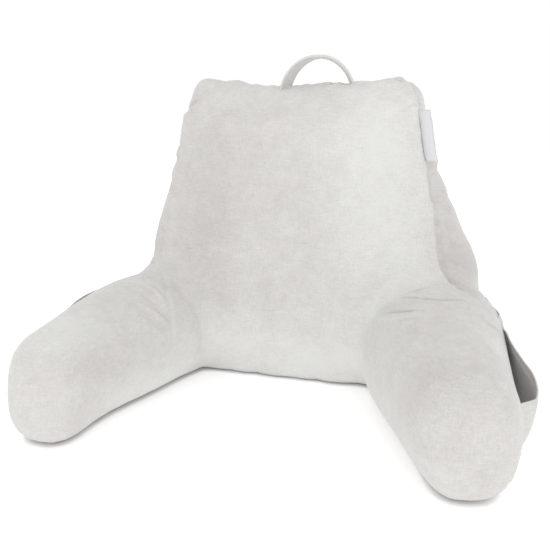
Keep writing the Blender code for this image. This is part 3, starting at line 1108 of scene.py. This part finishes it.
def paint_nap_and_light(mesh, surface):
    """Fill the attribute: a half as the pile fell, plus brushed pile and painted light and shade.
    """
    points, normals = read_points(mesh), read_normals(mesh)
    nap_and_painted_light = np.full(len(points), FALLEN_NAP)
    for pixel, (half_width, half_height), light in NAP_AND_PAINTED_LIGHT_PATCHES:
        middle = np.array(surface.ray_cast(CAMERA_PLACE, photo_ray(*pixel))[0])
        apart = points - middle
        wide = np.hypot(apart[:, 0], apart[:, 1]) / half_width
        high = apart[:, 2] / half_height
        nap_and_painted_light += light * np.exp(-(wide**2 + high**2))
    # painted light in the hollows, against the shade that falls there
    find, soften = HOLLOW_PASSES
    hollow = ((rounded(mesh, points, find) - points) * normals).sum(axis=1)
    nap_and_painted_light += HOLLOW_PAINTED_LIGHT * np.clip(broad_part(mesh, hollow, soften) / HOLLOW_DEPTH, 0, 1)
    # painted shade on the side panels, more the further a face turns aside
    levels = np.interp(points[:, 2], *zip(*GUSSET_SHADE_LEVELS))
    nap_and_painted_light += GUSSET_PAINTED_SHADE * beside_panel(points, normals) * levels
    mesh.attributes.new("nap_and_painted_light", "FLOAT", "POINT").data.foreach_set("value", nap_and_painted_light)
    return float(nap_and_painted_light.min()), float(nap_and_painted_light.max())


print("nap:", paint_nap_and_light(cover.data, surface))
for pocket in pockets.values():
    nap_and_painted_light = np.full(len(pocket.data.vertices), POCKET_NAP)
    pocket.data.attributes.new("nap_and_painted_light", "FLOAT", "POINT").data.foreach_set("value", nap_and_painted_light)

# %% [markdown]
# ## Ribbon and thread
#
# The tag is a smooth woven ribbon and the stitches are thread. Both are plain, with a faint rib
# in their relief, so one small function makes both.

# %% Ribbon and thread
RIBS = (300, 1, (1, 1, 8))  # scale, detail, stretch
RIB_RELIEF = (0.4, 0.0004)


def ribbon(name, colour):
    """A smooth weave with fine ribs."""
    material, tree, shader = new_material(name)
    shader.inputs["Base Color"].default_value = (*colour, 1)
    shader.inputs["Roughness"].default_value = 0.6
    shader.inputs["Sheen Weight"].default_value = 0.15
    place = tree.nodes.new("ShaderNodeTexCoord").outputs["Object"]
    relief = bumped(tree, noise(tree, place, *RIBS), *RIB_RELIEF)
    tree.links.new(relief, shader.inputs["Normal"])
    return material


tag_ribbon = ribbon("white_ribbon", (0.66, 0.66, 0.68))
thread = ribbon("pale_thread", (0.60, 0.59, 0.57))

# %% [markdown]
# ## The carrying strap
#
# The strap is a flat tube of velour in an arch, and it twists a little from one foot to the other.
# A strap is the textbook case for Geometry Nodes: a path, a profile, and Curve to Mesh. The
# path is a straight line bent into a half ellipse by its own parameter, tilted along its length,
# and the profile is a rectangle with filleted corners. The strap's feet run a little way into the
# top, where they are sewn in. A little noise along the normals keeps the cloth from looking cast.

# %% The strap's sizes
STRAP = {
    "Middle": (0.0265, -0.022, 0.440),
    "Half Span": 0.0565,
    "Rise": 0.0655,
    "Width": 0.028,
    "Thickness": 0.0036,
    "Twist Start": math.radians(-24),
    "Twist End": math.radians(-16),
    "Slack": 0.0006,
    "Cloth": trim_velour,
}
STRAP_STEPS = 90
CORNER_SHARE = 0.42  # the rounding of the strap's edges, as a share of its thickness
CORNER_STEPS = 4
SLACK_SCALE = 60.0

# %% The strap's node tree
def strap_path(tree, given):
    """The arch, tilted along its length."""
    line = add_node(tree, "GeometryNodeCurvePrimitiveLine").outputs[0]
    path = add_node(tree, "GeometryNodeResampleCurve", {"Curve": line, "Count": STRAP_STEPS})
    place = tree.nodes.new("GeometryNodeSplineParameter").outputs["Factor"]
    turn = calculate(tree, "MULTIPLY", place, math.pi)
    cosine = calculate(tree, "COSINE", turn)
    x = calculate(tree, "MULTIPLY", calculate(tree, "MULTIPLY", cosine, -1.0), given["Half Span"])
    z = calculate(tree, "MULTIPLY", calculate(tree, "SINE", turn), given["Rise"])
    arch = add_node(tree, "ShaderNodeCombineXYZ", {"X": x, "Z": z})
    raised = add_node(
        tree, "ShaderNodeVectorMath", {0: arch.outputs[0], 1: given["Middle"]}, operation="ADD"
    )
    moved = {"Geometry": path.outputs[0], "Position": raised.outputs[0]}
    bent = add_node(tree, "GeometryNodeSetPosition", moved)
    normals = add_node(tree, "GeometryNodeSetCurveNormal", {"Curve": bent.outputs[0]}, mode="Z_UP")
    twist = add_node(
        tree,
        "ShaderNodeMapRange",
        {"Value": place, "To Min": given["Twist Start"], "To Max": given["Twist End"]},
    )
    tilt = calculate(tree, "MULTIPLY", twist.outputs[0], calculate(tree, "ABSOLUTE", cosine))
    tilted = {"Curve": normals.outputs[0], "Tilt": tilt}
    return add_node(tree, "GeometryNodeSetCurveTilt", tilted).outputs[0]


def strap_profile(tree, given):
    """The strap's section, a flat band with rounded edges."""
    band = add_node(
        tree,
        "GeometryNodeCurvePrimitiveQuadrilateral",
        {"Width": given["Width"], "Height": given["Thickness"]},
    )
    radius = calculate(tree, "MULTIPLY", given["Thickness"], CORNER_SHARE)
    corners = {"Curve": band.outputs[0], "Radius": radius, "Count": CORNER_STEPS}
    return add_node(tree, "GeometryNodeFilletCurve", corners, mode="POLY").outputs[0]


def slackened(tree, solid, slack):
    """Move a solid's points a little in or out, by noise."""
    cloud = add_node(tree, "ShaderNodeTexNoise", {"Scale": SLACK_SCALE, "Detail": 2.0})
    uneven = calculate(tree, "SUBTRACT", cloud.outputs["Fac"], 0.5)
    facing = tree.nodes.new("GeometryNodeInputNormal").outputs[0]
    amount = {0: facing, "Scale": calculate(tree, "MULTIPLY", uneven, slack)}
    lift = add_node(tree, "ShaderNodeVectorMath", amount, operation="SCALE").outputs[0]
    moved = {"Geometry": solid, "Offset": lift}
    return add_node(tree, "GeometryNodeSetPosition", moved).outputs[0]


def strap_tree(inputs):
    """Path, profile, Curve to Mesh, slack."""
    tree = new_tree("carrying strap", inputs)
    given = tree.nodes.new("NodeGroupInput").outputs
    swept = {
        "Curve": strap_path(tree, given),
        "Profile Curve": strap_profile(tree, given),
        "Fill Caps": True,
    }
    solid = add_node(tree, "GeometryNodeCurveToMesh", swept).outputs[0]
    close_tree(tree, slackened(tree, solid, given["Slack"]), given["Cloth"])
    return tree


strap = grown_by(add_piece("strap", bpy.data.meshes.new("strap")), strap_tree(STRAP), STRAP)
points = read_points(strap.data)
print("strap:", len(points), "points")
print("strap box:", points.min(axis=0).round(4), points.max(axis=0).round(4))

# %% [markdown]
# ## The tag
#
# A folded ribbon is caught in the seam of the right gusset. Its two layers lie almost together,
# and its outer edge is the fold. It is left blank. It bends a little as it stands out, and its
# upper corner leans back.

# %% The tag's sizes and its place
TAG_HEIGHTS = (0.351, 0.4255)
TAG_WIDTH = 0.0155
TAG_TUCK = 0.003
TAG_FORWARD = math.radians(14)
TAG_GAP = 0.0012
TAG_OUT = 0.0035  # from the seam's line to the pile's surface
TAG_BEND = 0.0022
TAG_CORNER = (0.002, 0.004)  # how far the upper corner draws in, and leans back
TAG_GRID = (24, 24)
TAG_FOLD = 6  # the fold takes up one part in this many of each layer
RIBBON = 0.0005


def seam_place(height):
    """Where the right front seam runs at a height."""
    order = np.argsort([place[2] for place in panel_edge])
    x, y, heights = (np.array([panel_edge[k][axis] for k in order]) for axis in range(3))
    return float(np.interp(height, heights, x)), float(np.interp(height, heights, y))


def tag_place(out, height, layer):
    """A place on the tag: how far out from the seam, how high, and how far towards the front."""
    x, y = seam_place(height)
    upper = (height - TAG_HEIGHTS[0]) / (TAG_HEIGHTS[1] - TAG_HEIGHTS[0])
    draw_in, lean = TAG_CORNER
    out -= draw_in * upper**3
    curl = TAG_BEND * math.sin(math.pi * (out + TAG_TUCK) / (TAG_TUCK + TAG_WIDTH))
    curl -= lean * upper**3 * out / TAG_WIDTH
    return (
        x + TAG_OUT + out * math.cos(TAG_FORWARD) - layer * math.sin(TAG_FORWARD),
        y - out * math.sin(TAG_FORWARD) - layer * math.cos(TAG_FORWARD) - curl,
        height,
    )


# %% The folded ribbon
def make_tag():
    """One ribbon, out along one layer, round the fold and back along the other."""
    bm = bmesh.new()
    bmesh.ops.create_grid(bm, x_segments=TAG_GRID[0], y_segments=TAG_GRID[1], size=0.5)
    for vert in bm.verts:
        height = TAG_HEIGHTS[0] + (TAG_HEIGHTS[1] - TAG_HEIGHTS[0]) * (vert.co.x + 0.5)
        turn = vert.co.y * 2
        out = -TAG_TUCK + (TAG_TUCK + TAG_WIDTH) * (1 - abs(turn))
        apart = 1 - (1 - min(abs(turn) * TAG_FOLD, 1)) ** 2
        layer = math.copysign(apart, turn) * TAG_GAP / 2
        vert.co = tag_place(out, height, layer)
    mesh = bpy.data.meshes.new("side_tag")
    bm.to_mesh(mesh)
    bm.free()
    tag = add_piece("side_tag", mesh)
    wall = tag.modifiers.new("ribbon", "SOLIDIFY")
    wall.thickness = RIBBON
    wall.offset = 0
    return applied(tag)


tag = make_tag()
print("tag:", len(tag.data.polygons), "faces")

# %% [markdown]
# ## Stitches
#
# A row of stitches runs along each edge of the strap, on both of its faces, and one holds each
# pocket's hem. They are all the same thing: a short bead of thread, again and again along a line.
# The script draws each line as a chain of edges, and one tree turns the chain into a curve, sets
# a point every few millimetres, and puts a bead on each that points the way the line runs.

# %% The stitches' node tree
STITCH = {
    "Spacing": 0.0036,
    "Length": 0.0027,
    "Radius": 0.00042,
    "Unevenness": 0.18,
    "Thread": thread,
}
STITCH_SEED = 7
BEAD = {"Segments": 8, "Rings": 6, "Radius": 1.0}


def stitch_tree(inputs):
    """Chain to curve, curve to points, and a bead on every point."""
    tree = new_tree("stitch rows", inputs)
    given = tree.nodes.new("NodeGroupInput").outputs
    row = add_node(tree, "GeometryNodeMeshToCurve", {"Mesh": given["Geometry"]})
    places = add_node(
        tree,
        "GeometryNodeCurveToPoints",
        {"Curve": row.outputs[0], "Length": given["Spacing"]},
        mode="LENGTH",
    )
    bead = add_node(tree, "GeometryNodeMeshUVSphere", BEAD)
    uneven = add_node(
        tree,
        "FunctionNodeRandomValue",
        {
            2: calculate(tree, "SUBTRACT", 1.0, given["Unevenness"]),
            3: calculate(tree, "ADD", 1.0, given["Unevenness"]),
            "Seed": STITCH_SEED,
        },
    )
    half = calculate(tree, "MULTIPLY", given["Length"], 0.5)
    half = calculate(tree, "MULTIPLY", half, uneven.outputs[1])
    size = add_node(
        tree, "ShaderNodeCombineXYZ", {"X": given["Radius"], "Y": given["Radius"], "Z": half}
    )
    beads = add_node(
        tree,
        "GeometryNodeInstanceOnPoints",
        {
            "Points": places.outputs["Points"],
            "Instance": bead.outputs[0],
            "Rotation": places.outputs["Rotation"],
            "Scale": size.outputs[0],
        },
    )
    close_tree(tree, beads.outputs[0], given["Thread"])
    return tree


stitch_rows = stitch_tree(STITCH)


def stitched(name, rows):
    """A piece of stitches along some rows of points."""
    points, edges = [], []
    for row in rows:
        start = len(points)
        points.extend(tuple(place) for place in row)
        edges.extend((start + k, start + k + 1) for k in range(len(row) - 1))
    mesh = bpy.data.meshes.new(name)
    mesh.from_pydata(points, edges, [])
    return grown_by(add_piece(name, mesh), stitch_rows, STITCH)


# %% Rows on the strap
EDGE_INSET = 0.0038
STRAP_ROW = np.linspace(0.03, 0.97, 120)  # places along the strap, as shares of it
THREAD_LIFT = 0.0001


def strap_place(u, edge, face):
    """A place near one edge of one face, from the same path and twist as the strap's."""
    turn = math.pi * u
    span, rise = STRAP["Half Span"], STRAP["Rise"]
    place = Vector(STRAP["Middle"]) + Vector((-span * math.cos(turn), 0, rise * math.sin(turn)))
    tangent = Vector((span * math.sin(turn), 0, rise * math.cos(turn))).normalized()
    twist = STRAP["Twist Start"] + (STRAP["Twist End"] - STRAP["Twist Start"]) * u
    twist *= abs(math.cos(turn))
    flat = Vector((0, -1, 0))
    across = flat * math.cos(twist) + tangent.cross(flat) * math.sin(twist)
    lift = tangent.cross(across) * face * (STRAP["Thickness"] / 2 + THREAD_LIFT)
    return place + across * edge * (STRAP["Width"] / 2 - EDGE_INSET) + lift


strap_rows = [
    [strap_place(u, edge, face) for u in STRAP_ROW] for edge in (-1, 1) for face in (-1, 1)
]


# %% Rows on the hems
HEM_ROW = np.linspace(0.01, 0.99, 130)
HEM_INSET = 0.0005  # the stitches run this much nearer the mouth than the hem's own edge
HEM_RAY = 0.05  # rays at the panel start this far outside


def hem_row(side):
    """A row along a pocket's hem, where rays from outside meet its outer face."""
    panel = skin_tree(pockets[side].data)
    outward = outward_from(side)
    row = []
    for u in HEM_ROW:
        v = 1 - (HEM_WIDTH - HEM_INSET) / (mouth_height(u) - POCKET_FOOT)
        inner = pocket_point(side, u, v, surface)
        hit = panel.ray_cast(inner + outward * HEM_RAY, -outward)[0]
        row.append(hit + outward * THREAD_LIFT)
    return row


stitches = {
    "strap_stitches": stitched("strap_stitches", strap_rows),
    "pocket_stitches": stitched("pocket_stitches", [hem_row("left"), hem_row("right")]),
}
for name, piece in stitches.items():
    piece.data.calc_loop_triangles()
    print(name, len(piece.data.loop_triangles), "triangles")

# %% [markdown]
# ## Cloth on the pieces
#
# The strap and the stitches got their materials from their own trees. The other pieces are plain
# meshes, and get theirs here, with smooth shading.

# %% Dress the pieces
for piece, material in (
    (cover, cover_velour),
    (pockets["left"], cover_velour),
    (pockets["right"], cover_velour),
    (tag, tag_ribbon),
):
    piece.data.materials.clear()
    piece.data.materials.append(material)
    piece.data.shade_smooth()

# %% [markdown]
# ## Floor and light
#
# The photograph was taken on seamless white, with light from nearly everywhere. A white world does
# that, and one large soft lamp, in front and a little above, gives the forms their little shade.
# The floor is given a faint glow of its own, painted light that no lamp gives, and the glow is cut
# right beside what stands on it, which paints a thin soft shadow there.

# %% Floor and light
FLOOR_HALF = 6.0
FLOOR_WHITE = (0.90, 0.90, 0.90)
# the floor's own glow, painted light
FLOOR_PAINTED_GLOW = 0.30
PAINTED_SHADOW_REACH = 0.008  # the painted glow dies away this close to what stands on it, a painted shadow

scene.view_settings.view_transform = "Standard"

floor_mesh = bpy.data.meshes.new("floor")
corners = [(x * FLOOR_HALF, y * FLOOR_HALF, 0) for x, y in ((-1, -1), (1, -1), (1, 1), (-1, 1))]
floor_mesh.from_pydata(corners, [], [(0, 1, 2, 3)])
floor = add_piece("floor", floor_mesh)
floor_white, floor_tree, floor_shader = new_material("floor_white")
floor_shader.inputs["Base Color"].default_value = (*FLOOR_WHITE, 1)
floor_shader.inputs["Roughness"].default_value = 0.95
floor_shader.inputs["Emission Color"].default_value = (1, 1, 1, 1)
# where the floor is hemmed in, the glow is cut into a painted contact shadow
painted_shadow_mask = floor_tree.nodes.new("ShaderNodeAmbientOcclusion")
painted_shadow_mask.inputs["Distance"].default_value = PAINTED_SHADOW_REACH
painted_glow = calculate(floor_tree, "POWER", painted_shadow_mask.outputs["AO"], 2.0)
painted_glow = calculate(floor_tree, "MULTIPLY", painted_glow, FLOOR_PAINTED_GLOW)
floor_tree.links.new(painted_glow, floor_shader.inputs["Emission Strength"])
floor_mesh.materials.append(floor_white)

world = bpy.data.worlds.new("white_room")
world.use_nodes = True
world.node_tree.nodes["Background"].inputs["Color"].default_value = (1, 1, 1, 1)
world.node_tree.nodes["Background"].inputs["Strength"].default_value = 1.0
scene.world = world


def soft_lamp(name, place, aim, size, power):
    """A square lamp that looks at a point."""
    lamp = bpy.data.lights.new(name, "AREA")
    lamp.size = size
    lamp.energy = power
    lit = bpy.data.objects.new(name, lamp)
    lit.location = place
    lit.rotation_euler = (Vector(aim) - Vector(place)).to_track_quat("-Z", "Y").to_euler()
    scene.collection.objects.link(lit)


soft_lamp("key", place=(0.8, -4.5, 1.2), aim=(0, 0, 0.2), size=2.5, power=24)

# %% [markdown]
# ## Tied to the body
#
# Last, each piece is tied to the body of the CAD model that it moves with, and the solids it
# stands for are hidden. The whole pillow is one body.

# %% Ride, and hide the solids
for piece, slot, nodes in (
    (cover, "velour", ("back_cushion", "arm_left", "arm_right")),
    (pockets["left"], "velour", ("pocket_left",)),
    (pockets["right"], "velour", ("pocket_right",)),
    (strap, "strap_velour", ("carry_handle",)),
    (tag, "tag_ribbon", ("side_label",)),
):
    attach(piece, "root")
    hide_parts(*nodes)

for piece in stitches.values():
    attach(piece, "root")
